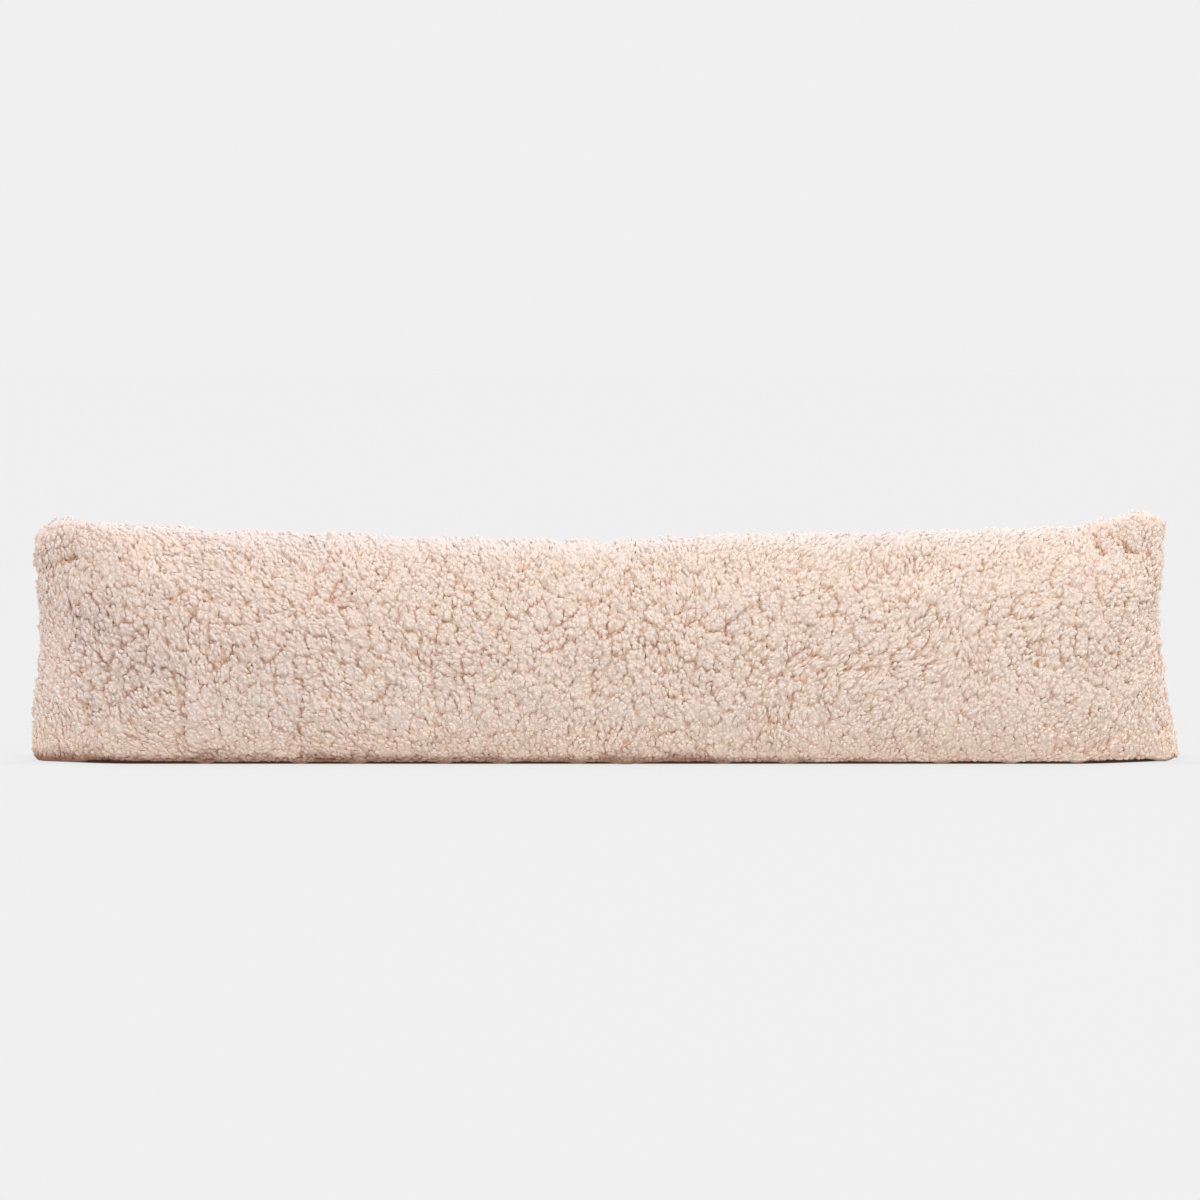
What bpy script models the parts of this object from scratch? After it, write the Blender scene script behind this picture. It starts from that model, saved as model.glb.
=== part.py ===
"""Draught excluder: a long, slim filled cushion covered in curly teddy fleece.

It stands on its long edge, as it does along the foot of a door. X runs along its length,
Y from front to back and Z up. The origin is under its middle, on the floor.
The cover is sewn flat across both ends, so the ends are tall, thin and drawn in between
their corners, and the middle is lower and plump. Every size reaches to the tips of the pile.
"""

import math
from collections import namedtuple

import bmesh
import bpy
from mathutils import Vector, noise

# Driving sizes, in metres
DEPTH = 0.112  # front to back where the filling is fullest
BASE_WIDTH = 0.070  # the flat strip that the weight presses onto the floor
FULLEST_AT = 0.45  # share of the height where the depth is greatest
PRESSED_IN = 0.006  # how far the round underside would reach below the floor
EDGE_HALF = 0.0100  # half the thickness of the flat sewn ends, two layers of cloth and pile
END_TAPER = 0.165  # length over which the depth falls from full to the sewn end
END_ROUND = 0.014  # length over which the pile rounds off at the tip of an end
TOP_CORNER = 0.014  # radius of the two ears
FOOT_CORNER = 0.009  # radius of the two lower corners
SEAM_GROOVE = 0.0040  # how far the end seam sinks between the two layers of pile
SEAM_HALF = 0.0040  # half the width of that groove

# How the shape turns from a plump oval in the middle to a thin lens at the ends
UNDERSIDE_POWER = 2 / 3  # squarer than a circle, so the underside is full
EAR_POWER = 0.3  # the blunt edge of the sewn ends
PINCH = 0.55
TAPER_POWER = 2.1
FULL_POWER = 0.72
LAYER_POWER = 0.5
DRAW_POWER = 3  # the ends are drawn in more than the middle

Station = namedtuple("Station", "x z")
CREST = (
    Station(x=-0.445, z=0.183),
    Station(x=-0.422, z=0.190),
    Station(x=-0.404, z=0.189),
    Station(x=-0.380, z=0.184),
    Station(x=-0.282, z=0.180),
    Station(x=-0.158, z=0.175),
    Station(x=0.028, z=0.173),
    Station(x=0.152, z=0.178),
    Station(x=0.338, z=0.181),
    Station(x=0.372, z=0.186),
    Station(x=0.400, z=0.194),
    Station(x=0.422, z=0.196),
    Station(x=0.445, z=0.193),
)

EndPoint = namedtuple("EndPoint", "z x")
LEFT_END = (
    EndPoint(z=0.000, x=0.4440),
    EndPoint(z=0.016, x=0.4455),
    EndPoint(z=0.050, x=0.4430),
    EndPoint(z=0.112, x=0.4420),
    EndPoint(z=0.140, x=0.4440),
    EndPoint(z=0.190, x=0.4460),
)
RIGHT_END = (
    EndPoint(z=0.000, x=0.4455),
    EndPoint(z=0.012, x=0.4460),
    EndPoint(z=0.034, x=0.4415),
    EndPoint(z=0.062, x=0.4350),
    EndPoint(z=0.100, x=0.4315),
    EndPoint(z=0.148, x=0.4350),
    EndPoint(z=0.196, x=0.4400),
)

# Corners that bend out of line: which end, from which height to which, and how far they turn.
# A turn above zero brings the seam round to the front.
Bend = namedtuple("Bend", "end z_none z_full degrees length")
BENDS = (
    Bend(end=-1, z_none=0.120, z_full=0.165, degrees=38, length=0.036),
    Bend(end=-1, z_none=0.070, z_full=0.020, degrees=-14, length=0.040),
    Bend(end=1, z_none=0.120, z_full=0.175, degrees=-16, length=0.040),
    Bend(end=1, z_none=0.070, z_full=0.020, degrees=18, length=0.040),
)

# Soft troughs, each along a straight line on the front (-1) or the back (1)
Fold = namedtuple("Fold", "side x z run_x run_z half_width deep")
FOLDS = (
    # Front, under and beside the left ear
    Fold(side=-1, x=-0.440, z=0.146, run_x=0.032, run_z=0.012, half_width=0.011, deep=0.0050),
    Fold(side=-1, x=-0.408, z=0.158, run_x=0.070, run_z=-0.036, half_width=0.020, deep=0.0040),
    # Front, from the right ear down into the body
    Fold(side=-1, x=0.374, z=0.182, run_x=0.020, run_z=-0.030, half_width=0.012, deep=0.0055),
    Fold(side=-1, x=0.394, z=0.176, run_x=0.026, run_z=-0.022, half_width=0.010, deep=0.0045),
    # Front, creases that stand on the floor
    Fold(side=-1, x=-0.325, z=0.002, run_x=0.003, run_z=0.056, half_width=0.012, deep=0.0055),
    Fold(side=-1, x=-0.238, z=0.002, run_x=0.003, run_z=0.034, half_width=0.011, deep=0.0040),
    Fold(side=-1, x=-0.130, z=0.004, run_x=0.010, run_z=0.026, half_width=0.012, deep=0.0035),
    Fold(side=-1, x=0.366, z=0.016, run_x=0.040, run_z=0.010, half_width=0.011, deep=0.0035),
    # Front, hollows in the filling
    Fold(side=-1, x=-0.012, z=0.030, run_x=0.008, run_z=0.052, half_width=0.013, deep=0.0045),
    Fold(side=-1, x=0.046, z=0.118, run_x=0.024, run_z=0.030, half_width=0.013, deep=0.0035),
    Fold(side=-1, x=-0.206, z=0.058, run_x=0.006, run_z=0.086, half_width=0.016, deep=0.0025),
    # Back
    Fold(side=1, x=-0.404, z=0.176, run_x=0.042, run_z=-0.032, half_width=0.013, deep=0.0055),
    Fold(side=1, x=0.402, z=0.174, run_x=-0.036, run_z=-0.026, half_width=0.013, deep=0.0050),
    Fold(side=1, x=-0.190, z=0.003, run_x=-0.006, run_z=0.048, half_width=0.012, deep=0.0045),
    Fold(side=1, x=0.115, z=0.003, run_x=0.005, run_z=0.056, half_width=0.012, deep=0.0045),
    Fold(side=1, x=0.290, z=0.004, run_x=-0.004, run_z=0.034, half_width=0.011, deep=0.0035),
    Fold(side=1, x=-0.060, z=0.070, run_x=0.060, run_z=0.030, half_width=0.016, deep=0.0030),
)
FOLD_TIP_SHARE = 0.55  # a fold's depth at its two tips, as a share of its depth in the middle

# Lumps on the surface: their spacing and how far they rise and fall
Lumps = namedtuple("Lumps", "spacing rise origin")
LUMPS = (
    Lumps(spacing=0.110, rise=0.0026, origin=(3.1, 0.7, 5.2)),  # the filling
    Lumps(spacing=0.046, rise=0.0018, origin=(7.9, 2.6, 0.4)),  # hollows in the filling
    Lumps(spacing=0.021, rise=0.0026, origin=(0.0, 4.4, 9.3)),  # clumps of pile
)
THIN_SHARE = 0.35  # a fold sinks no further than this share of the half thickness there
LEVEL_FOOT = 0.014  # the rise and fall fades out over this height above the floor
RIM_SHARE = 0.45  # how much of the unevenness is left, sideways only, at the rim of the base
FLOOR_CLEARANCE = 0.0004  # nothing but the base itself comes closer to the floor than this

# How finely the surface is divided
BASE_STEPS = 3  # from the middle of the base to its edge
SIDE_STEPS = 20  # from the edge of the base to the crest
END_RINGS = 4  # rings that round each end
STRAIGHT_RINGS = 117
FINE_STEPS = 200  # points of a side's curve before it is divided evenly

FLEECE_COLOUR = (0.800, 0.632, 0.520, 1.0)
FLEECE_ROUGHNESS = 0.95


def clear_scene():
    for obj in list(bpy.data.objects):
        bpy.data.objects.remove(obj, do_unlink=True)


def smooth_through(rows, at):
    """A smooth curve through (position, value) rows, read at one position."""
    places = [row[0] for row in rows]
    values = [row[1] for row in rows]
    at = min(max(at, places[0]), places[-1])
    last = len(rows) - 1
    i = next(k for k in range(last) if at <= places[k + 1])

    def slope(k):
        low, high = max(k - 1, 0), min(k + 1, last)
        return (values[high] - values[low]) / (places[high] - places[low])

    gap = places[i + 1] - places[i]
    t = (at - places[i]) / gap
    start = (1 + 2 * t) * (1 - t) ** 2 * values[i] + t * (1 - t) ** 2 * gap * slope(i)
    end = t * t * (3 - 2 * t) * values[i + 1] - t * t * (1 - t) * gap * slope(i + 1)
    return start + end


def eased(value, none, full):
    """0 at none and 1 at full, with a soft start and stop."""
    t = min(max((value - none) / (full - none), 0.0), 1.0)
    return t * t * (3 - 2 * t)


def end_rows(x):
    """The outline of the end that x is nearer to."""
    return LEFT_END if x < 0 else RIGHT_END


def reach_of(x):
    """The greatest reach of that end, before it is drawn in."""
    return max(row.x for row in end_rows(x))


def to_end(x):
    """Distance from x to the tip of its end."""
    return reach_of(x) - abs(x)


def corner_drop(x, radius):
    """How far a rounded corner has fallen away from its straight edge at x."""
    inside = max(radius - to_end(x), 0.0)
    return radius - math.sqrt(max(radius**2 - inside**2, 0.0))


def crest_height(x):
    return smooth_through(CREST, x) - corner_drop(x, TOP_CORNER)


def foot_height(x):
    return corner_drop(x, FOOT_CORNER)


def drawn_in(x, z):
    """x moved so that the end follows its own outline at this height."""
    reach = smooth_through(end_rows(x), z)
    pull = (abs(x) / reach_of(x)) ** DRAW_POWER
    return x * (1 + pull * (reach / reach_of(x) - 1))


def tip_share(x):
    """1 along the cushion, falling on a quarter circle to the lip of the seam's groove."""
    inside = max(END_ROUND - to_end(x), 0.0) / END_ROUND
    lip = SEAM_HALF / EDGE_HALF
    return lip + (1 - lip) * math.sqrt(max(1 - inside**2, 0.0))


def flat_share(x):
    """0 where the cushion is full, rising to 1 at the flat sewn end."""
    return max(1 - to_end(x) / END_TAPER, 0.0)


def half_depth(x):
    """Half the cushion's depth at x, at the height where it is fullest."""
    full = (1 - flat_share(x) ** TAPER_POWER) ** FULL_POWER
    return EDGE_HALF + (DEPTH / 2 - EDGE_HALF) * full


def evenly(points, steps):
    """The same line, divided into equal lengths."""
    lengths = [0.0]
    for a, b in zip(points, points[1:]):
        lengths.append(lengths[-1] + math.dist(a, b))
    result = []
    k = 0
    for step in range(steps + 1):
        target = lengths[-1] * step / steps
        while k < len(lengths) - 2 and lengths[k + 1] < target:
            k += 1
        t = (target - lengths[k]) / (lengths[k + 1] - lengths[k])
        result.append(tuple(a + t * (b - a) for a, b in zip(points[k], points[k + 1])))
    return result


def side_profile(x):
    """(depth, height) points of one side at x, from the edge of the base up to the crest."""
    crest, foot, half = crest_height(x), foot_height(x), half_depth(x)
    fullest = foot + FULLEST_AT * (crest - foot)
    flat = flat_share(x)
    pinch = 1 + PINCH * flat
    layer = EDGE_HALF * flat**LAYER_POWER
    # The underside is cut off by the floor, so its curve starts part of the way round
    below = fullest - foot + PRESSED_IN
    first = -math.asin(((fullest - foot) / below) ** (1 / UNDERSIDE_POWER))
    curve = []
    for k in range(FINE_STEPS + 1):
        angle = first + (math.pi / 2 - first) * k / FINE_STEPS
        across = max(math.cos(angle), 0.0)
        if angle < 0:
            height = fullest - below * math.sin(-angle) ** UNDERSIDE_POWER
            power = UNDERSIDE_POWER
        else:
            height = fullest + (crest - fullest) * math.sin(angle)
            power = 1.0
        body = (half - layer) * across ** (power * pinch)
        curve.append(((body + layer * across**EAR_POWER) * tip_share(x), height))
    # The lower part moves in or out a little to start at the edge of the flat base
    base_half = BASE_WIDTH * half / DEPTH * tip_share(x)
    shift = base_half - curve[0][0]
    fitted = []
    for depth, height in curve:
        share = max(1 - (height - foot) / (fullest - foot), 0.0)
        fitted.append((depth + shift * share**2, height))
    return evenly(fitted, SIDE_STEPS)


def half_loop(x, side):
    """Points of one side at x, from the middle of the base to just below the crest."""
    profile = side_profile(x)
    edge, foot = profile[0]
    points = [Vector((x, side * edge * k / BASE_STEPS, foot)) for k in range(1, BASE_STEPS)]
    return points + [Vector((drawn_in(x, z), side * y, z)) for y, z in profile[:-1]]


def ring(x):
    """One closed ring: middle of the base, up the front, over the crest and down the back."""
    top = crest_height(x)
    middle = Vector((x, 0.0, foot_height(x)))
    crest = Vector((drawn_in(x, top), 0.0, top))
    return [middle, *half_loop(x, -1), crest, *reversed(half_loop(x, 1))]


def ring_places():
    """Where the rings stand, closer together where the ends are rounded."""
    left, right = -reach_of(-1), reach_of(1)
    quarter = math.pi / 2
    turns = [END_ROUND * (1 - math.cos(quarter * k / END_RINGS)) for k in range(END_RINGS)]
    first, last = left + END_ROUND, right - END_ROUND
    straight = [first + (last - first) * k / STRAIGHT_RINGS for k in range(STRAIGHT_RINGS + 1)]
    return [left + t for t in turns] + straight + [right - t for t in reversed(turns)]


def close_end(bm, loop):
    """Closes an end along its seam, which sinks in between the two layers of pile."""
    half = len(loop) // 2
    outward = math.copysign(1.0, loop[0].co.x)
    seam = {}
    for k in range(BASE_STEPS, half):
        middle = (loop[k].co + loop[-k].co) / 2
        seam[k] = bm.verts.new(middle - Vector((outward * SEAM_GROOVE, 0.0, 0.0)))
    for k in range(BASE_STEPS, half - 1):
        bm.faces.new((loop[k], loop[k + 1], seam[k + 1], seam[k]))
        bm.faces.new((loop[-k - 1], loop[-k], seam[k], seam[k + 1]))
    bm.faces.new((loop[half - 1], loop[half], seam[half - 1]))
    bm.faces.new((loop[half], loop[half + 1], seam[half - 1]))
    for k in range(-BASE_STEPS, BASE_STEPS):
        bm.faces.new((loop[k], loop[k + 1], seam[BASE_STEPS]))


def bend_corners(bm):
    """Turns the ears and lower corners a little out of line, as a soft cushion's do."""
    for vert in bm.verts:
        for bend in BENDS:
            start = reach_of(bend.end) - bend.length
            past = vert.co.x * bend.end - start
            if past <= 0:
                continue
            share = eased(vert.co.z, bend.z_none, bend.z_full)
            turn = math.radians(bend.degrees) * share * min(past / bend.length, 1.0)
            # The corner follows an arc, and its thickness stays square to the arc
            reach = past * (1 - turn**2 / 6) + vert.co.y * math.sin(turn)
            vert.co.x = bend.end * (start + reach)
            vert.co.y = vert.co.y * math.cos(turn) - past * turn / 2


def fold_depth(place):
    """How deep the folds press in at a point of the plain surface."""
    pressed = 0.0
    for fold in FOLDS:
        if fold.side * place.y < 0:
            continue
        run = Vector((fold.run_x, fold.run_z))
        away = Vector((place.x - fold.x, place.z - fold.z))
        along = min(max(away.dot(run) / run.length_squared, 0.0), 1.0)
        off = (away - along * run).length / fold.half_width
        if off < 1:
            bow = math.sin(math.pi * along)
            strength = FOLD_TIP_SHARE + (1 - FOLD_TIP_SHARE) * bow
            pressed += fold.deep * strength * (1 - off * off) ** 2
    return pressed


def lump_height(place):
    total = 0.0
    for lumps in LUMPS:
        total += lumps.rise * noise.noise(place / lumps.spacing + Vector(lumps.origin))
    return total


def roughen(bm):
    """Moves the surface in at the folds and out at the lumps. The base stays level."""
    bm.normal_update()
    moves = {}
    for vert in bm.verts:
        raised = min(vert.co.z / LEVEL_FOOT, 1.0)
        sink = min(fold_depth(vert.co), THIN_SHARE * abs(vert.co.y))
        height = lump_height(vert.co) - sink
        move = vert.normal * height * (RIM_SHARE + (1 - RIM_SHARE) * raised)
        move.z *= raised
        moves[vert] = move
    for vert, move in moves.items():
        lowest = min(vert.co.z, FLOOR_CLEARANCE)
        vert.co += move
        vert.co.z = max(vert.co.z, lowest)


def centre(bm):
    """Puts the origin under the middle of the cushion, on the floor."""
    for axis in range(3):
        places = [vert.co[axis] for vert in bm.verts]
        start = min(places)
        if axis < 2:
            start = (start + max(places)) / 2
        for vert in bm.verts:
            vert.co[axis] -= start


def fleece_material():
    material = bpy.data.materials.new("teddy_fleece")
    material.use_nodes = True
    shader = material.node_tree.nodes["Principled BSDF"]
    shader.inputs["Base Color"].default_value = FLEECE_COLOUR
    shader.inputs["Roughness"].default_value = FLEECE_ROUGHNESS
    shader.inputs["Metallic"].default_value = 0.0
    return material


def filled_cushion():
    """The cover and its filling as one closed body."""
    bm = bmesh.new()
    loops = [[bm.verts.new(point) for point in ring(x)] for x in ring_places()]
    count = len(loops[0])
    for near, far in zip(loops, loops[1:]):
        for k in range(count):
            after = (k + 1) % count
            bm.faces.new((near[k], far[k], far[after], near[after]))
    close_end(bm, loops[0])
    close_end(bm, loops[-1])
    bmesh.ops.recalc_face_normals(bm, faces=bm.faces)
    roughen(bm)
    bend_corners(bm)
    centre(bm)
    mesh = bpy.data.meshes.new("filled_cushion")
    bm.to_mesh(mesh)
    bm.free()
    mesh.shade_smooth()
    mesh.materials.append(fleece_material())
    cushion = bpy.data.objects.new("filled_cushion", mesh)
    bpy.context.scene.collection.objects.link(cushion)
    return cushion


clear_scene()
filled_cushion()
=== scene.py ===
"""Looks of the draught excluder: curly teddy fleece on a filled cover, with camera and light.

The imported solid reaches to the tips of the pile. The cover's backing cloth lies further in:
it is blown up a little by a cloth simulation, as filling does it, and tens of thousands of
short curls stand on it, gathered in clumps and tufts that lie over one way.
"""

import math

import bmesh
import bpy
import numpy as np
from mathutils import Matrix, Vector, kdtree, noise
from mathutils.bvhtree import BVHTree


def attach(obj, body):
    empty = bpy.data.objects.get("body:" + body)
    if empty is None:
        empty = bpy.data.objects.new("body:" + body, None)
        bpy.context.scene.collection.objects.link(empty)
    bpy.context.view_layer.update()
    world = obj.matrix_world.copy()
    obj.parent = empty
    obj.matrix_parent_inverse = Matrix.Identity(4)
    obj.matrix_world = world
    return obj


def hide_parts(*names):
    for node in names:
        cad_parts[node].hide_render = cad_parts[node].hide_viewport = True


NODE = "filled_cushion"
SEED = 11
TINY = 1e-12  # keeps a length from being nought
WHITE = (1.0, 1.0, 1.0)

# The backing cloth, in metres
MERGE_WITHIN = 1e-5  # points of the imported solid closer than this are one
ANY_ANGLE = 3.2  # radians: triangles are joined in pairs however much they bend
STEP_IN = 1e-4  # a ray into the cushion starts this far under its surface
ON_FLOOR = 1e-4  # what is lower than this lies on the floor
PILE_DEPTH = 0.0062  # from the backing to the tips of the pile
THIN_SHARE = 0.32  # at the thin ends the pile takes no more than this share of the thickness
SWELL_ROOM = 0.0010  # how far further in the backing starts, before it is filled
SWELL_CAP = 0.0025  # how far the filling may push it out
SWELL_PRESSURE = 0.3
SWELL_FRAMES = 20
CLOTH_QUALITY = 5
CLOTH_MASS = 0.3
CLOTH_STIFFNESS = 15
CLOTH_BENDING = 0.5
DIVISIONS = 2  # how often the backing is subdivided at last
REACH_OVER = 0.0006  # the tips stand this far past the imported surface
REACH_LIMITS = (0.9, 1.8)  # but the pile's depth changes by no more than these shares
FOOT_RISE = 0.014  # below this height the cloth turns under to the flat foot
END_FROM = 0.415  # past this the backing is evened out, as its two sides come close together
END_ROUNDS = 4  # how many times
END_SMOOTHING = 0.5

# The pile, in metres. Clumps of curls are parted by gaps, and tufts of clumps by deeper ones.
TUFT_SPACING = 0.0120
CLUMP_SPACING = 0.0060
CURL_SPACING = 0.0023
PLACES_TRIED = 4  # for each square of that spacing
CELLS_COMPARED = 8  # nearest tufts or clumps that a curl may belong to
STRETCH = 1.4  # tufts and clumps are longer along the lay of the pile
COMBED_STRETCH = 2.0  # and longer still where it is combed
TUFT_EDGE = 0.0016  # how far in from its border a tuft is rounded off
CLUMP_EDGE = 0.0016
TUFT_GAP = 0.55  # share of the pile's depth that is lost in a gap
CLUMP_GAP = 0.38
TUFT_UNEVEN = 0.07  # how much the tufts differ in height, as a share of the pile's depth
CLUMP_UNEVEN = 0.06
CURL_UNEVEN = 0.05
SHARE_LIMITS = (0.1, 1.25)  # the least and the greatest height, as shares of the pile's depth
# How deep the gaps are, as a share, by height above the floor and by X
GAP_BY_HEIGHT = ((0.0, 0.5), (0.045, 0.8), (0.080, 1.1), (0.125, 1.1), (0.155, 0.7), (0.185, 0.5))
GAP_BY_LENGTH = ((-0.440, 0.25), (-0.422, 0.5), (-0.400, 1.0), (0.100, 1.0), (0.250, 0.8),
                 (0.400, 0.85), (0.422, 0.5), (0.440, 0.25))
FELT_UNDER = 0.0021  # the felted inside of a clump comes this near to its tips
CURL_LENGTH = 0.0033
CURL_RADIUS = 0.0020
LANK_LENGTH = 0.0033  # how much longer and thinner the lankest curls are
LANK_THIN = 0.0005
LANK_UNEVEN = 0.2  # how much lankness differs from curl to curl where the pile is equally combed
CURL_VARIETY = (0.85, 1.15)  # the range of lengths and thicknesses, as shares
CURL_ROOM = 0.45  # no curl is thicker than this share of the pile's depth
CURL_START = 0.45  # a curl starts this share of its length behind its place
CURL_SWING = 0.0012  # how far a curl bends to the side
SWING_LEAST = 0.6  # share of that for curls that are not lank
SWING_LANK = 0.8  # what is added to the share for the lankest
ARCH_TURN = 0.62  # how far over a curl arches, in half turns
ARCH_POWER = 0.8
CURL_SIDES = 4
CURL_RINGS = (0.0, 0.42, 0.82)
CURL_SWELL = (0.85, 1.04, 0.84)
GATHER = 0.28  # how far the curls of a clump lean together
GROUP_TURN = 15.0  # degrees that tufts and clumps turn away from the lay, where not combed
CURL_TURN = 18.0
TURN_LOOSE = 1.2  # the share of these turns that counts where the pile is not combed
TURN_COMBED = 0.85  # and what is taken off that share where it is
FLOOR_GAP = 0.0024  # the pile keeps this far off the floor
FLOOR_ROOM = 0.7  # and the middle of a curl this share of its thickness more
HANG_HEIGHT = 0.012  # below this the pile hangs down to the floor
PARTS = 6  # the curls are shared between this many pieces, side by side

# The lay of the pile on the front: the way the tips point, in degrees from +X, along X
LAY = ((-0.445, 92.0), (-0.400, 112.0), (-0.300, 132.0), (-0.120, 112.0), (0.020, 88.0),
       (0.180, 66.0), (0.330, 60.0), (0.410, 76.0), (0.445, 88.0))
LAY_WANDER = 42.0  # degrees that it wanders from place to place
LAY_WAVE = 0.060
LAY_SHIFT = Vector((1.7, 8.2, 3.3))

# How far the pile is combed into long strands, along X; elsewhere it lies in round beads
COMBED = ((-0.445, 1.0), (-0.415, 0.7), (-0.385, 0.35), (-0.330, 0.7), (-0.240, 0.75), (-0.150, 0.4),
          (-0.050, 0.25), (0.080, 0.4), (0.200, 0.6), (0.300, 0.55), (0.370, 0.3), (0.420, 0.6),
          (0.445, 1.0))
COMB_WANDER = 0.9
COMB_WAVE = 0.045
COMB_SHIFT = Vector((4.1, 0.6, 7.9))

# Creases in the pile on the front: (x, z) of both ends, the share of the pile's depth that is
# lost in them, and how far they reach to each side. A ridge has a negative share.
CREASES = (
    ((-0.4372, 0.1461), (-0.4145, 0.1566), 0.45, 0.0045),
    ((-0.4145, 0.1566), (-0.4050, 0.1610), 0.65, 0.0038),
    ((-0.4070, 0.1610), (-0.4060, 0.1540), 0.70, 0.0032),
    ((-0.4290, 0.1800), (-0.4330, 0.1560), 0.20, 0.0035),
    ((0.3760, 0.1715), (0.3835, 0.1580), 0.62, 0.0034),
    ((0.3868, 0.1750), (0.4034, 0.1605), 0.45, 0.0034),
    ((0.3974, 0.1715), (0.4060, 0.1625), 0.55, 0.0034),
    ((0.4168, 0.1725), (0.4163, 0.1453), 0.25, 0.0035),
    ((-0.3223, 0.0620), (-0.3204, 0.0180), 0.36, 0.0045),
    ((-0.3145, 0.0850), (-0.3145, 0.0250), -0.35, 0.0060),
    ((-0.2321, 0.0440), (-0.2332, 0.0080), 0.50, 0.0035),
    ((-0.0046, 0.0901), (-0.0077, 0.0363), 0.28, 0.0040),
)
CREASE_WOBBLE = 0.004  # how far a crease strays from its straight line
CREASE_WAVE = 0.012  # over what length

# Spots on the front with painted shade, or with painted light where the last value is negative:
# (x, z) of the middle, radius, how much
PAINTED_SHADE_SPOTS = (
    ((-0.400, 0.135), 0.048, 0.07),
    ((-0.355, 0.095), 0.050, 0.06),
    ((-0.270, 0.070), 0.060, 0.03),
    ((-0.440, 0.110), 0.040, -0.06),
    ((-0.345, 0.168), 0.060, -0.04),
    ((-0.440, 0.050), 0.050, -0.07),
)

# Fibres within a curl, and the colours, linear
FIBRE_SCALE = 800.0
FIBRE_STRETCH = 0.22
FIBRE_DEPTH = 0.0013
FIBRE_DETAIL = 2
ROUGHNESS = 0.95
SPECULAR = 0.15
TIP_LIGHT = (0.91, 0.795, 0.725)
TIP_DARK = (0.87, 0.74, 0.665)
# Painted shade at the roots and on the undersides of the curls
ROOT_SHADE = (0.83, 0.64, 0.515)
ROOT_SHADE_RANGE = (0.15, 0.70)  # how far out of the pile that painted shade reaches on each curl
UNDERSIDE = 0.45  # how much less the underside of a curl counts as out of the pile, so more painted shade lies on it
PAINTED_GAP_SHADE = (0.71, 0.485, 0.365)  # painted shade down in the gaps, where light comes only through the pile
GAP_SHADE_RANGE = (0.25, 0.80)  # the shares of the pile's depth between which that colour fades
BACKING = (0.86, 0.72, 0.63)
LEFT_TINT = (0.995, 0.975, 0.97)
RIGHT_TINT = (1.0, 0.985, 0.965)
TINT_LENGTH = (-0.44, 0.10)  # one passes into the other between these places along X
PAINTED_FLOOR_BOUNCE = (1.08, 1.03, 0.985)  # painted light bounced up from the floor, towards the floor
FLOOR_BOUNCE_HEIGHT = 0.045
PAINTED_CONTACT_SHADE = (0.33, 0.155, 0.085)  # painted contact shade, close to the floor
CONTACT_SHADE_HEIGHT = 0.0135
LOW_PATCHES = 45.0  # scale of the patches in which that painted shade reaches higher or less high
LOW_NOISE = (0.35, 0.65)
LOW_UNEVEN = (1.4, 0.8)
LOW_LENGTH = (0.02, 0.30)  # along X, between these places, it comes to reach less high
LOW_LESS = 2.4  # so many times
PAINTED_TOP_LIGHT = (0.885, 0.815, 0.795)  # painted light on the tips on top, which face the light from above
TOP_RANGE = (0.65, 1.05)  # how far a curl must face up for that
SHEEN = 0.12
SHEEN_ROUGHNESS = 0.7

# Camera, from the photo: square on, a little above
CAMERA_DISTANCE = 3.0
CAMERA_ELEVATION = 4.0
FRAME_WIDTH = 0.9304  # width of the view at the cushion's middle
SENSOR = 36.0
AIM = Vector((-0.0031, 0.0, 0.1245))

# Light
BACKGROUND = 0.871  # the photo's pale grey behind the cushion
BAND_TOP = 0.20  # height in the sky up to which the background shows
BAND_END = 0.75  # height from which on it is as bright as overhead
OVERHEAD = 1.18
KEY_PLACE = Vector((0.9, -1.1, 2.0))
KEY_SIZE = 1.2
KEY_POWER = 15
KEY_COLOUR = (1.0, 0.97, 0.94)

# Floor
FLOOR_SIZE = 60.0
FLOOR_GREY = 0.02
FLOOR_GLOW = 0.845
SHADED_GLOW = (0.060, 0.024, 0.012)  # what is left of it under the cushion
SHADE_LENGTH = 0.432  # that patch of floor: half its length and width, drawn in at the ends
SHADE_WIDTH = 0.026
SHADE_TAPER = (0.36, 0.47)
SHADE_EDGE = 0.005
SHADE_LEVEL = 0.93  # a fainter shade lies round the patch
SHADE_FADE = 0.045


def rows_at(rows, at):
    """Reads (place, value) rows at many places at once."""
    places, values = zip(*rows)
    return np.interp(at, places, values)


def unit(vectors):
    return vectors / np.maximum(np.linalg.norm(vectors, axis=-1, keepdims=True), TINY)


def linked(name, data):
    obj = bpy.data.objects.new(name, data)
    bpy.context.scene.collection.objects.link(obj)
    return obj


def mesh_arrays(mesh):
    points = np.empty(len(mesh.vertices) * 3)
    mesh.vertices.foreach_get("co", points)
    normals = np.empty(len(mesh.vertices) * 3)
    mesh.vertex_normals.foreach_get("vector", normals)
    mesh.calc_loop_triangles()
    triangles = np.empty(len(mesh.loop_triangles) * 3, dtype=np.int32)
    mesh.loop_triangles.foreach_get("vertices", triangles)
    return points.reshape(-1, 3), normals.reshape(-1, 3), triangles.reshape(-1, 3)


def set_value(mesh, name, values, kind="FLOAT"):
    layer = mesh.attributes.new(name, kind, "POINT")
    field = "value" if kind == "FLOAT" else "vector"
    layer.data.foreach_set(field, values.astype(np.float32).ravel())


def get_value(mesh, name):
    values = np.empty(len(mesh.vertices), dtype=np.float32)
    mesh.attributes[name].data.foreach_get("value", values)
    return values.astype(float)


# The backing cloth

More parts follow.
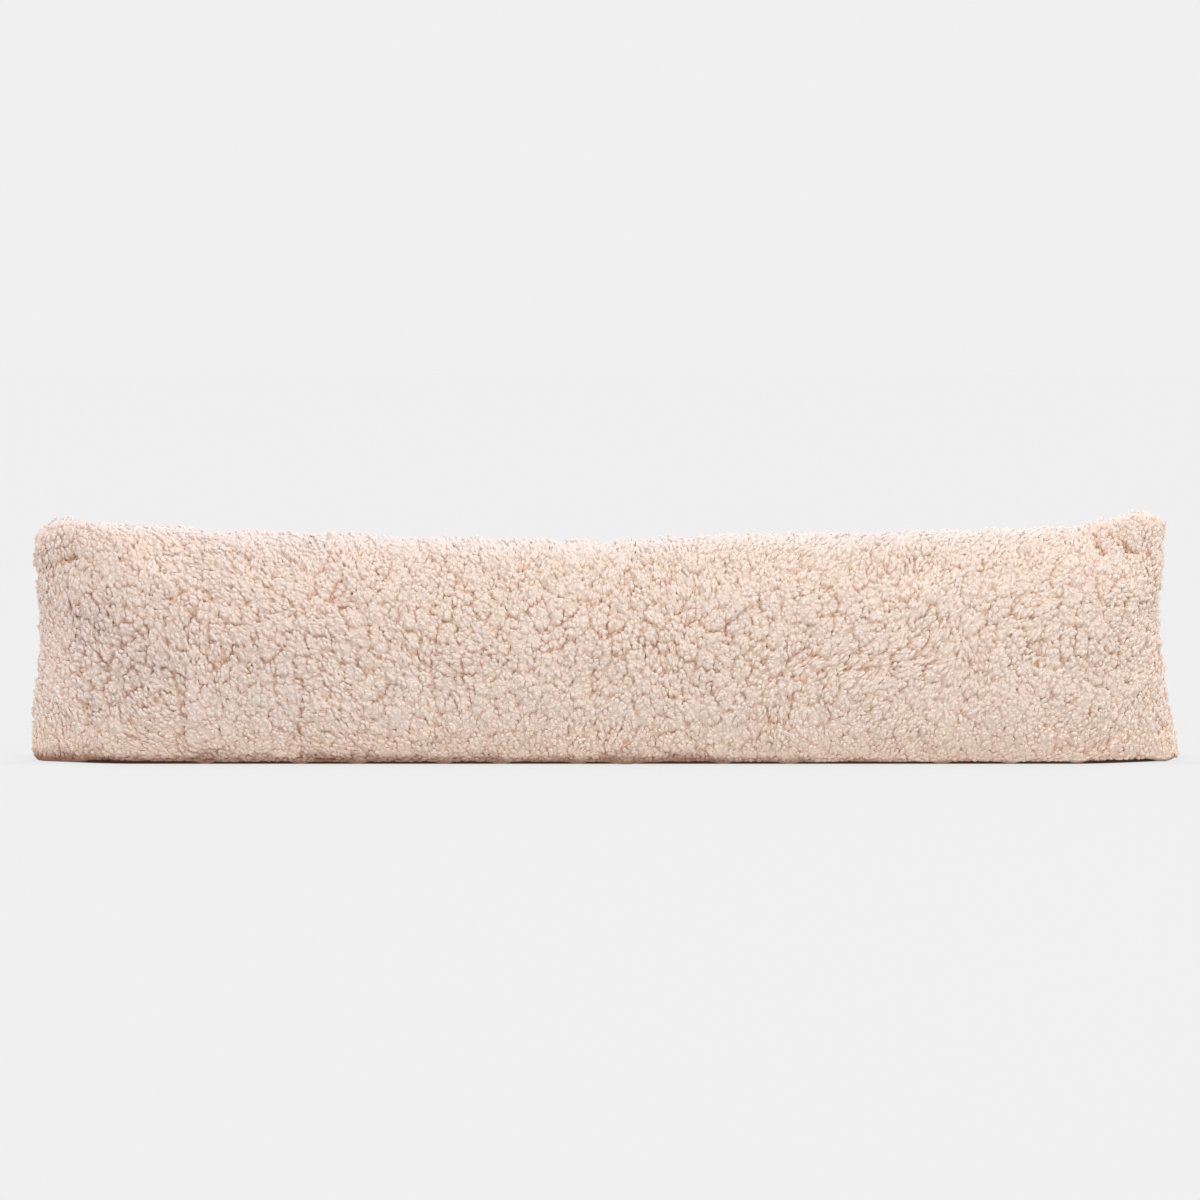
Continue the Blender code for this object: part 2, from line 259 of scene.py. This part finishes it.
def packed_shape():
    """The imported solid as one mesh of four-sided faces."""
    bm = bmesh.new()
    bm.from_mesh(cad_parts[NODE].data)
    bmesh.ops.remove_doubles(bm, verts=bm.verts, dist=MERGE_WITHIN)
    bmesh.ops.join_triangles(
        bm, faces=bm.faces, angle_face_threshold=ANY_ANGLE, angle_shape_threshold=ANY_ANGLE
    )
    mesh = bpy.data.meshes.new("fleece_backing")
    bm.to_mesh(mesh)
    bm.free()
    return mesh


def pile_depths(points, normals, packed):
    """How deep the pile is at each point, less where the cushion is thin."""
    depths = np.empty(len(points))
    for i, (point, normal) in enumerate(zip(points, normals)):
        distance = packed.ray_cast(Vector(point - normal * STEP_IN), Vector(-normal))[3]
        depths[i] = PILE_DEPTH if distance is None else min(PILE_DEPTH, THIN_SHARE * distance)
    return depths


def swell(obj, mesh):
    """Blows the backing up with a short cloth simulation; its foot stays on the floor."""
    rest, normals, _ = mesh_arrays(mesh)
    foot = obj.vertex_groups.new(name="foot")
    foot.add([int(i) for i in np.flatnonzero(rest[:, 2] < ON_FLOOR)], 1.0, "ADD")
    cloth = obj.modifiers.new("filling", "CLOTH")
    settings = cloth.settings
    settings.quality = CLOTH_QUALITY
    settings.mass = CLOTH_MASS
    settings.tension_stiffness = CLOTH_STIFFNESS
    settings.compression_stiffness = CLOTH_STIFFNESS
    settings.bending_stiffness = CLOTH_BENDING
    settings.use_pressure = True
    settings.uniform_pressure_force = SWELL_PRESSURE
    settings.effector_weights.gravity = 0
    settings.vertex_group_mass = "foot"
    scene = bpy.context.scene
    for number in range(1, SWELL_FRAMES + 1):
        scene.frame_set(number)
    graph = bpy.context.evaluated_depsgraph_get()
    swollen = obj.evaluated_get(graph).to_mesh()
    moved = mesh_arrays(swollen)[0] - rest
    obj.evaluated_get(graph).to_mesh_clear()
    obj.modifiers.remove(cloth)
    scene.frame_set(1)
    outward = np.clip((moved * normals).sum(axis=1), 0, SWELL_CAP)
    outward[rest[:, 2] < FOOT_RISE] = 0
    mesh.vertices.foreach_set("co", (rest + normals * outward[:, None]).ravel())
    mesh.update()


def depths_out(surface, packed):
    """The pile's depth at each point of the finished backing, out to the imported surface."""
    points, normals, _ = mesh_arrays(surface)
    nominal = get_value(surface, "depth")
    least, most = REACH_LIMITS
    depths = nominal.copy()
    for i, (point, normal) in enumerate(zip(points, normals)):
        distance = packed.ray_cast(Vector(point), Vector(normal))[3]
        if distance is not None:
            depths[i] = np.clip(distance + REACH_OVER, nominal[i] * least, nominal[i] * most)
    return depths


def even_out_ends(mesh):
    """Smooths the thin ends, where the two sides of the backing would cross."""
    bm = bmesh.new()
    bm.from_mesh(mesh)
    ends = [v for v in bm.verts if abs(v.co.x) > END_FROM and v.co.z > FOOT_RISE]
    for _ in range(END_ROUNDS):
        bmesh.ops.smooth_vert(
            bm, verts=ends, factor=END_SMOOTHING, use_axis_x=True, use_axis_y=True, use_axis_z=True
        )
    bm.to_mesh(mesh)
    bm.free()


def backing_piece():
    """The backing cloth, swollen and subdivided, with the pile's depth at each of its points."""
    mesh = packed_shape()
    points, normals, triangles = mesh_arrays(mesh)
    packed = BVHTree.FromPolygons([Vector(p) for p in points], triangles.tolist())
    depths = pile_depths(points, normals, packed)
    inward = normals * (depths + SWELL_ROOM * depths / PILE_DEPTH)[:, None]
    inward[:, 2] *= np.clip(points[:, 2] / FOOT_RISE, 0, 1)
    mesh.vertices.foreach_set("co", (points - inward).ravel())
    even_out_ends(mesh)
    mesh.update()
    set_value(mesh, "depth", depths)
    obj = linked("fleece_backing", mesh)
    swell(obj, mesh)
    divide = obj.modifiers.new("divide", "SUBSURF")
    divide.levels = DIVISIONS
    divide.render_levels = DIVISIONS
    graph = bpy.context.evaluated_depsgraph_get()
    fine = bpy.data.meshes.new_from_object(obj.evaluated_get(graph), depsgraph=graph)
    obj.modifiers.clear()
    obj.data = fine
    fine.name = "fleece_backing"
    fine.shade_smooth()
    return obj, depths_out(fine, packed)


# The pile

def scatter(surface, spacing, rng):
    """Points on the surface that keep their distance from each other.

    Each comes with the surface's direction and the pile's depth there.
    """
    points, normals, triangles, depths = surface
    corners = points[triangles]
    cross = np.cross(corners[:, 1] - corners[:, 0], corners[:, 2] - corners[:, 0])
    area = np.linalg.norm(cross, axis=1) / 2
    # Nothing grows on the foot, which lies on the floor
    area[corners[:, :, 2].max(axis=1) < FLOOR_GAP] = 0.0
    count = int(area.sum() / spacing**2 * PLACES_TRIED)
    picked = rng.choice(len(triangles), size=count, p=area / area.sum())
    a, b = rng.random(count), rng.random(count)
    over = a + b > 1
    a[over], b[over] = 1 - a[over], 1 - b[over]
    weights = np.stack((1 - a - b, a, b), axis=1)
    spots = np.einsum("ij,ijk->ik", weights, corners[picked])
    facing = unit(np.einsum("ij,ijk->ik", weights, normals[triangles[picked]]))
    depth = (weights * depths[triangles[picked]]).sum(axis=1)
    tree = tree_of(spots)
    taken = np.zeros(count, dtype=bool)
    kept = []
    for i in range(count):
        if not taken[i]:
            kept.append(i)
            for _, j, _ in tree.find_range(spots[i], spacing):
                taken[j] = True
    return spots[kept], facing[kept], depth[kept]


def tree_of(places):
    tree = kdtree.KDTree(len(places))
    for i, place in enumerate(places):
        tree.insert(place, i)
    tree.balance()
    return tree


def lay_directions(spots, facing):
    """The way the pile lies at each spot, as a direction along the surface."""
    wander = np.array([noise.noise(Vector(spot) / LAY_WAVE + LAY_SHIFT) for spot in spots])
    angle = np.radians(rows_at(LAY, spots[:, 0]) + LAY_WANDER * wander)
    lay = np.stack((np.cos(angle), np.zeros(len(spots)), np.sin(angle)), axis=1)
    # Close to the floor it hangs down instead
    lay[:, 2] *= np.clip(spots[:, 2] / HANG_HEIGHT * 2 - 1, -1, 1)
    # Over the top and round the ends it follows the surface
    lay -= facing * (lay * facing).sum(axis=1, keepdims=True)
    return unit(lay)


def combing(spots):
    """How far the pile is combed into long strands at each spot, from 0 to 1."""
    wander = np.array([noise.noise(Vector(spot) / COMB_WAVE + COMB_SHIFT) for spot in spots])
    return np.clip(rows_at(COMBED, spots[:, 0]) + COMB_WANDER * wander, 0, 1)


def crease_depths(spots, facing):
    """The share of the pile's depth that is lost in the creases of the front."""
    lost = np.zeros(len(spots))
    wobble = np.array([noise.noise_vector(Vector(spot) / CREASE_WAVE) for spot in spots])
    flat = (spots + CREASE_WOBBLE * wobble)[:, (0, 2)]
    for start, end, share, half_width in CREASES:
        run = np.array(end) - start
        place = np.clip((flat - start) @ run / (run @ run), 0, 1)
        away = np.linalg.norm(flat - start - place[:, None] * run, axis=1)
        lost += share * np.clip(1 - away / half_width, 0, 1)
    return np.where(facing[:, 1] < 0, lost, 0)


def painted_shade_at(spots, facing):
    """How much painted shade or painted light there is at each spot, as a share that multiplies its
    colour.
    """
    shade = np.ones(len(spots))
    for centre, radius, darker in PAINTED_SHADE_SPOTS:
        away = np.linalg.norm(spots[:, (0, 2)] - centre, axis=1)
        shade -= darker * np.clip(1 - (away / radius) ** 2, 0, 1)
    return np.where(facing[:, 1] < 0, shade, 1)


def nearest_two(places, roots, lay, stretch):
    """For each root, the nearest of the places and how far the border to the next one is.

    Distances count less along the lay, so that the cells round the places are long that way.
    """
    tree = tree_of(places)
    own = np.empty(len(roots), dtype=np.int32)
    border = np.empty(len(roots))
    for i, root in enumerate(roots):
        found = []
        shrink = 1 - 1 / stretch[i]**2
        for place, j, _ in tree.find_n(root, CELLS_COMPARED):
            away = root - np.array(place)
            along = away @ lay[i]
            found.append((math.sqrt(max(away @ away - along**2 * shrink, 0.0)), j))
        found.sort()
        own[i] = found[0][1]
        border[i] = (found[1][0] - found[0][0]) / 2
    return own, border


def groups_of_pile(surface, rng):
    """Centres of the tufts and the clumps, with how each stands out, turns and is coloured."""
    groups = {}
    kinds = (("tuft", TUFT_SPACING, TUFT_UNEVEN), ("clump", CLUMP_SPACING, CLUMP_UNEVEN))
    for kind, spacing, uneven in kinds:
        centres = scatter(surface, spacing, rng)[0]
        count = len(centres)
        turns = rng.normal(0, GROUP_TURN, count)
        groups[kind] = centres, rng.normal(0, uneven, count), turns, rng.random(count)
    return groups


def pile_at(groups, spots, facing):
    """The lay of the pile at each spot and its height as a share of the full depth.

    Also how combed it is there, the spot's offset from the middle of its clump, and the
    clump's turn and tone.
    """
    lay = lay_directions(spots, facing)
    combed = combing(spots)
    stretch = STRETCH + (COMBED_STRETCH - STRETCH) * combed
    gap_depth = rows_at(GAP_BY_HEIGHT, spots[:, 2]) * rows_at(GAP_BY_LENGTH, spots[:, 0])
    share = 1 - crease_depths(spots, facing)
    turn = np.zeros(len(spots))
    for kind, edge, gap in (("tuft", TUFT_EDGE, TUFT_GAP), ("clump", CLUMP_EDGE, CLUMP_GAP)):
        centres, uneven, turns, tones = groups[kind]
        own, border = nearest_two(centres, spots, lay, stretch)
        share += uneven[own] - gap * gap_depth * np.clip(1 - border / edge, 0, 1) ** 2
        turn += turns[own]
    offset = spots - centres[own]
    offset -= facing * (offset * facing).sum(axis=1, keepdims=True)
    return lay, np.clip(share, *SHARE_LIMITS), combed, offset, turn, tones[own]


def curls_of_pile(surface, groups, rng):
    """Each curl's line, thickness and side, with its height, tone, slope, painted shade and chance
    values.
    """
    roots, facing, depth = scatter(surface, CURL_SPACING, rng)
    lay, share, combed, offset, turn, tone = pile_at(groups, roots, facing)
    count = len(roots)
    turn = (turn + rng.normal(0, CURL_TURN, count)) * (TURN_LOOSE - TURN_COMBED * combed)
    turn = np.radians(turn)
    side = np.cross(facing, lay)
    lean = lay * np.cos(turn)[:, None] + side * np.sin(turn)[:, None]
    side = np.cross(facing, lean)
    share = share + rng.normal(0, CURL_UNEVEN, count)
    lank = np.clip(combed + rng.normal(0, LANK_UNEVEN, count), 0, 1)
    thick = (CURL_RADIUS - LANK_THIN * lank) * rng.uniform(*CURL_VARIETY, count)
    thick = np.minimum(thick, depth * CURL_ROOM)
    rise = depth * share - thick
    reach = (CURL_LENGTH + LANK_LENGTH * lank) * rng.uniform(*CURL_VARIETY, count)
    swing = CURL_SWING * (SWING_LEAST + SWING_LANK * lank) * rng.normal(0, 1, count)

    start = roots - lean * (reach * CURL_START)[:, None]
    lines = []
    for t in (*CURL_RINGS, 1.0):
        up = math.sin(math.pi * ARCH_TURN * t) ** ARCH_POWER
        line = start + facing * (rise * up)[:, None] + lean * (reach * t)[:, None]
        line += side * (swing * math.sin(math.pi * t))[:, None]
        line -= offset * (GATHER * t)
        lines.append(line)
    lines = np.stack(lines, axis=1)
    lines[:, :, 2] = np.maximum(lines[:, :, 2], FLOOR_GAP + thick[:, None] * FLOOR_ROOM)
    painted_shade = painted_shade_at(roots, facing)
    return lines, thick, side, share, tone, facing[:, 2], painted_shade, rng.random((count, 3))


def felt_up(obj, surface, groups):
    """Raises the backing under each clump, where the roots of its curls are felted together."""
    points, normals, _, depths = surface
    share = pile_at(groups, points, normals)[1]
    felted = np.maximum(depths * share - FELT_UNDER * depths / PILE_DEPTH, 0)
    raised = normals * felted[:, None]
    raised[:, 2] *= np.clip(points[:, 2] / FOOT_RISE, 0, 1)
    obj.data.vertices.foreach_set("co", (points + raised).ravel())
    obj.data.update()
    set_value(obj.data, "height", share)
    set_value(obj.data, "upward", normals[:, 2])
    set_value(obj.data, "painted_shade", painted_shade_at(points, normals))


def curl_mesh(name, lines, thick, side, share, tone, upward, painted_shade, chance):
    """One tapered, round-ended curl on each line, all in one mesh."""
    count = len(lines)
    rings, sides = len(CURL_RINGS), CURL_SIDES
    along = unit(np.gradient(lines, axis=1))
    first = unit(np.cross(along, side[:, None, :]))
    second = np.cross(along, first)
    length = np.linalg.norm(lines[:, -1] - lines[:, 0], axis=1)
    verts = np.empty((count, rings * sides + 1, 3))
    fibre = np.empty_like(verts)
    for r, stage in enumerate(CURL_RINGS):
        radius = thick * CURL_SWELL[r]
        for s in range(sides):
            turn = 2 * math.pi * (s + r / 2) / sides
            spoke = first[:, r] * math.cos(turn) + second[:, r] * math.sin(turn)
            verts[:, r * sides + s] = lines[:, r] + spoke * radius[:, None]
            across = radius * math.cos(turn), radius * math.sin(turn), length * stage * FIBRE_STRETCH
            fibre[:, r * sides + s] = np.stack(across, axis=1)
    verts[:, -1] = lines[:, -1]
    verts[:, :, 2] = np.maximum(verts[:, :, 2], FLOOR_GAP)
    fibre[:, -1] = np.stack((length * 0, length * 0, length * FIBRE_STRETCH), axis=1)
    fibre += chance[:, None, :]
    faces = []
    for r in range(rings - 1):
        for s in range(sides):
            a, b = r * sides + s, r * sides + (s + 1) % sides
            faces += [(a, b, a + sides), (b, b + sides, a + sides)]
    last = (rings - 1) * sides
    faces += [(last + s, last + (s + 1) % sides, rings * sides) for s in range(sides)]
    faces += [(0, s + 1, s) for s in range(1, sides - 1)]
    per_curl = verts.shape[1]
    loops = (np.array(faces).ravel()[None, :] + (np.arange(count) * per_curl)[:, None]).ravel()
    mesh = bpy.data.meshes.new(name)
    mesh.vertices.add(count * per_curl)
    mesh.vertices.foreach_set("co", verts.ravel())
    mesh.loops.add(len(loops))
    mesh.loops.foreach_set("vertex_index", loops.astype(np.int32))
    mesh.polygons.add(len(loops) // 3)
    mesh.polygons.foreach_set("loop_start", np.arange(0, len(loops), 3, dtype=np.int32))
    mesh.update(calc_edges=True)
    mesh.shade_smooth()
    # How far each point is out of the pile, less on the underside: the mask of the painted root
    # shade
    outside = []
    for r, stage in enumerate(CURL_RINGS):
        for s in range(sides):
            upper = math.cos(2 * math.pi * (s + r / 2) / sides)
            outside.append(stage * (1 - UNDERSIDE / 2 + UNDERSIDE / 2 * upper))
    set_value(mesh, "outside", np.tile([*outside, 1.0], count))
    set_value(mesh, "height", np.repeat(share, per_curl))
    set_value(mesh, "tone", np.repeat(tone, per_curl))
    set_value(mesh, "upward", np.repeat(upward, per_curl))
    set_value(mesh, "painted_shade", np.repeat(painted_shade, per_curl))
    set_value(mesh, "fibre", fibre, "FLOAT_VECTOR")
    return linked(name, mesh)


# Materials

def mix_colour(nodes, links, factor, a, b):
    mix = nodes.new("ShaderNodeMix")
    mix.data_type = "RGBA"
    links.new(factor, mix.inputs["Factor"])
    for name, value in (("A", a), ("B", b)):
        if isinstance(value, tuple):
            mix.inputs[name].default_value = (*value, 1)
        else:
            links.new(value, mix.inputs[name])
    return mix.outputs["Result"]


def attribute(nodes, name, output="Fac"):
    node = nodes.new("ShaderNodeAttribute")
    node.attribute_name = name
    return node.outputs[output]


def map_range(nodes, links, value, low, high, to_low=0.0, to_high=1.0):
    node = nodes.new("ShaderNodeMapRange")
    node.interpolation_type = "SMOOTHSTEP"
    node.inputs["From Min"].default_value = low
    node.inputs["From Max"].default_value = high
    node.inputs["To Min"].default_value = to_low
    node.inputs["To Max"].default_value = to_high
    links.new(value, node.inputs["Value"])
    return node.outputs["Result"]


def multiply_colour(nodes, links, colour, tint):
    mix = nodes.new("ShaderNodeMix")
    mix.data_type = "RGBA"
    mix.blend_type = "MULTIPLY"
    mix.inputs["Factor"].default_value = 1.0
    links.new(colour, mix.inputs["A"])
    links.new(tint, mix.inputs["B"])
    return mix.outputs["Result"]


def arithmetic(nodes, links, operation, a, b):
    node = nodes.new("ShaderNodeMath")
    node.operation = operation
    for socket, value in zip(node.inputs, (a, b)):
        if isinstance(value, float):
            socket.default_value = value
        else:
            links.new(value, socket)
    return node.outputs["Value"]


def fleece_material(name, tips, of_curls):
    """Matt fleece with fine fibres; painted shade makes it darker and warmer in the gaps and near
    the floor, painted light lighter on top.
    """
    material = bpy.data.materials.new(name)
    material.use_nodes = True
    nodes, links = material.node_tree.nodes, material.node_tree.links
    shader = nodes["Principled BSDF"]
    shader.inputs["Roughness"].default_value = ROUGHNESS
    shader.inputs["Specular IOR Level"].default_value = SPECULAR
    shader.inputs["Sheen Weight"].default_value = SHEEN
    shader.inputs["Sheen Roughness"].default_value = SHEEN_ROUGHNESS
    place = nodes.new("ShaderNodeTexCoord")
    split = nodes.new("ShaderNodeSeparateXYZ")
    links.new(place.outputs["Object"], split.inputs["Vector"])

    colour = mix_colour(nodes, links, attribute(nodes, "tone"), *tips)
    if of_curls:
        # Painted shade at the roots and undersides of the curls
        stage = map_range(nodes, links, attribute(nodes, "outside"), *ROOT_SHADE_RANGE)
        colour = mix_colour(nodes, links, stage, ROOT_SHADE, colour)
    # Painted light on what faces up
    upward = map_range(nodes, links, attribute(nodes, "upward"), *TOP_RANGE)
    colour = mix_colour(nodes, links, upward, colour, PAINTED_TOP_LIGHT)
    # Painted shade down in the gaps between clumps and tufts
    raised = map_range(nodes, links, attribute(nodes, "height"), *GAP_SHADE_RANGE)
    colour = mix_colour(nodes, links, raised, PAINTED_GAP_SHADE, colour)
    # Painted shade, or painted light, in a few spots on the front
    colour = multiply_colour(nodes, links, colour, attribute(nodes, "painted_shade", "Color"))
    end = map_range(nodes, links, split.outputs["X"], *TINT_LENGTH)
    tint = mix_colour(nodes, links, end, LEFT_TINT, RIGHT_TINT)
    colour = multiply_colour(nodes, links, colour, tint)
    patches = nodes.new("ShaderNodeTexNoise")
    patches.inputs["Scale"].default_value = LOW_PATCHES
    links.new(place.outputs["Object"], patches.inputs["Vector"])
    uneven = map_range(nodes, links, patches.outputs["Fac"], *LOW_NOISE, *LOW_UNEVEN)
    less = map_range(nodes, links, split.outputs["X"], *LOW_LENGTH, 1.0, LOW_LESS)
    uneven = arithmetic(nodes, links, "MULTIPLY", uneven, less)
    height = arithmetic(nodes, links, "MULTIPLY", split.outputs["Z"], uneven)
    # Painted light bounced up from the floor: lighter and warmer towards it
    floor_bounce = map_range(nodes, links, split.outputs["Z"], 0.0, FLOOR_BOUNCE_HEIGHT)
    tint = mix_colour(nodes, links, floor_bounce, PAINTED_FLOOR_BOUNCE, WHITE)
    colour = multiply_colour(nodes, links, colour, tint)
    # Painted contact shade: darker and warmer close to the floor, in uneven patches
    low = map_range(nodes, links, height, 0.0, CONTACT_SHADE_HEIGHT)
    tint = mix_colour(nodes, links, low, PAINTED_CONTACT_SHADE, WHITE)
    colour = multiply_colour(nodes, links, colour, tint)
    links.new(colour, shader.inputs["Base Color"])

    fibres = nodes.new("ShaderNodeTexNoise")
    fibres.inputs["Scale"].default_value = FIBRE_SCALE
    fibres.inputs["Detail"].default_value = FIBRE_DETAIL
    along = attribute(nodes, "fibre", "Vector") if of_curls else place.outputs["Object"]
    links.new(along, fibres.inputs["Vector"])
    bump = nodes.new("ShaderNodeBump")
    bump.inputs["Distance"].default_value = FIBRE_DEPTH
    bump.inputs["Strength"].default_value = 1.0
    links.new(fibres.outputs["Fac"], bump.inputs["Height"])
    links.new(bump.outputs["Normal"], shader.inputs["Normal"])
    return material


# Camera, light and floor

def make_camera():
    data = bpy.data.cameras.new("camera")
    data.sensor_width = SENSOR
    data.lens = SENSOR * CAMERA_DISTANCE / FRAME_WIDTH
    camera = linked("camera", data)
    up = math.radians(CAMERA_ELEVATION)
    camera.location = AIM + CAMERA_DISTANCE * Vector((0, -math.cos(up), math.sin(up)))
    camera.rotation_euler = (math.pi / 2 - up, 0, 0)
    bpy.context.scene.camera = camera


def area_light(name, place, size, power, colour):
    data = bpy.data.lights.new(name, "AREA")
    data.size = size
    data.energy = power
    data.color = colour
    lamp = linked(name, data)
    lamp.location = place
    lamp.rotation_euler = (AIM - place).to_track_quat("-Z", "Y").to_euler()


def make_world():
    """Even light from all round, brighter from overhead, with the photo's pale grey behind."""
    world = bpy.data.worlds.new("studio")
    world.use_nodes = True
    nodes, links = world.node_tree.nodes, world.node_tree.links
    place = nodes.new("ShaderNodeTexCoord")
    split = nodes.new("ShaderNodeSeparateXYZ")
    links.new(place.outputs["Generated"], split.inputs["Vector"])
    level = map_range(nodes, links, split.outputs["Z"], BAND_TOP, BAND_END, BACKGROUND, OVERHEAD)
    links.new(level, nodes["Background"].inputs["Strength"])
    nodes["Background"].inputs["Color"].default_value = (*WHITE, 1)
    bpy.context.scene.world = world


def make_floor():
    """A plain pale floor as bright as the background, shaded only close to the cushion."""
    half = FLOOR_SIZE / 2
    mesh = bpy.data.meshes.new("floor")
    corners = [(-half, -half, 0), (half, -half, 0), (half, half, 0), (-half, half, 0)]
    mesh.from_pydata(corners, [], [(0, 1, 2, 3)])
    material = bpy.data.materials.new("floor")
    material.use_nodes = True
    nodes, links = material.node_tree.nodes, material.node_tree.links
    shader = nodes["Principled BSDF"]
    shader.inputs["Roughness"].default_value = 1.0
    shader.inputs["Specular IOR Level"].default_value = 0.0
    shader.inputs["Emission Strength"].default_value = 1.0
    place = nodes.new("ShaderNodeTexCoord")
    size = nodes.new("ShaderNodeVectorMath")
    size.operation = "ABSOLUTE"
    links.new(place.outputs["Object"], size.inputs[0])
    split = nodes.new("ShaderNodeSeparateXYZ")
    links.new(size.outputs["Vector"], split.inputs["Vector"])
    half_width = map_range(nodes, links, split.outputs["X"], *SHADE_TAPER, SHADE_WIDTH, 0.0)
    beside = arithmetic(nodes, links, "SUBTRACT", split.outputs["Y"], half_width)
    beyond = arithmetic(nodes, links, "SUBTRACT", split.outputs["X"], SHADE_LENGTH)
    value = arithmetic(nodes, links, "MAXIMUM", beside, beyond)
    shader.inputs["Base Color"].default_value = (FLOOR_GREY, FLOOR_GREY, FLOOR_GREY, 1)
    far = map_range(nodes, links, value, 0.0, SHADE_FADE)
    clear = mix_colour(nodes, links, far, (FLOOR_GLOW * SHADE_LEVEL,) * 3, (FLOOR_GLOW,) * 3)
    near = map_range(nodes, links, value, 0.0, SHADE_EDGE)
    links.new(mix_colour(nodes, links, near, SHADED_GLOW, clear), shader.inputs["Emission Color"])
    mesh.materials.append(material)
    linked("floor", mesh)


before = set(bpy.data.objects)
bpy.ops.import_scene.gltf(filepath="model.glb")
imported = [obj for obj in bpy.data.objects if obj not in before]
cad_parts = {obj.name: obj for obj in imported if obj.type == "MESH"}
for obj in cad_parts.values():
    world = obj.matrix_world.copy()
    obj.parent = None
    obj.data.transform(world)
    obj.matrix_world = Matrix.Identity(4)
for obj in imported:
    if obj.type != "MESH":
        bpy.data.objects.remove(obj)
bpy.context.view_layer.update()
rng = np.random.default_rng(SEED)
# Without this the wobble of the creases would differ from run to run
noise.seed_set(SEED)

make_camera()
make_world()
make_floor()
area_light("key", KEY_PLACE, KEY_SIZE, KEY_POWER, KEY_COLOUR)

backing, depths = backing_piece()
backing.data.materials.clear()
backing.data.materials.append(fleece_material("teddy_fleece_backing", (BACKING, BACKING), False))
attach(backing, "root")
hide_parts(NODE)

surface = (*mesh_arrays(backing.data), depths)
groups = groups_of_pile(surface, rng)
curls = curls_of_pile(surface, groups, rng)
felt_up(backing, surface, groups)
fleece = fleece_material("teddy_fleece_curls", (TIP_DARK, TIP_LIGHT), True)
order = np.argsort(curls[0][:, 0, 0])
for number, part in enumerate(np.array_split(order, PARTS), start=1):
    piece = curl_mesh(f"pile_{number}", *(values[part] for values in curls))
    piece.data.materials.append(fleece)
    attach(piece, "root")

bpy.context.scene.view_settings.view_transform = "Standard"
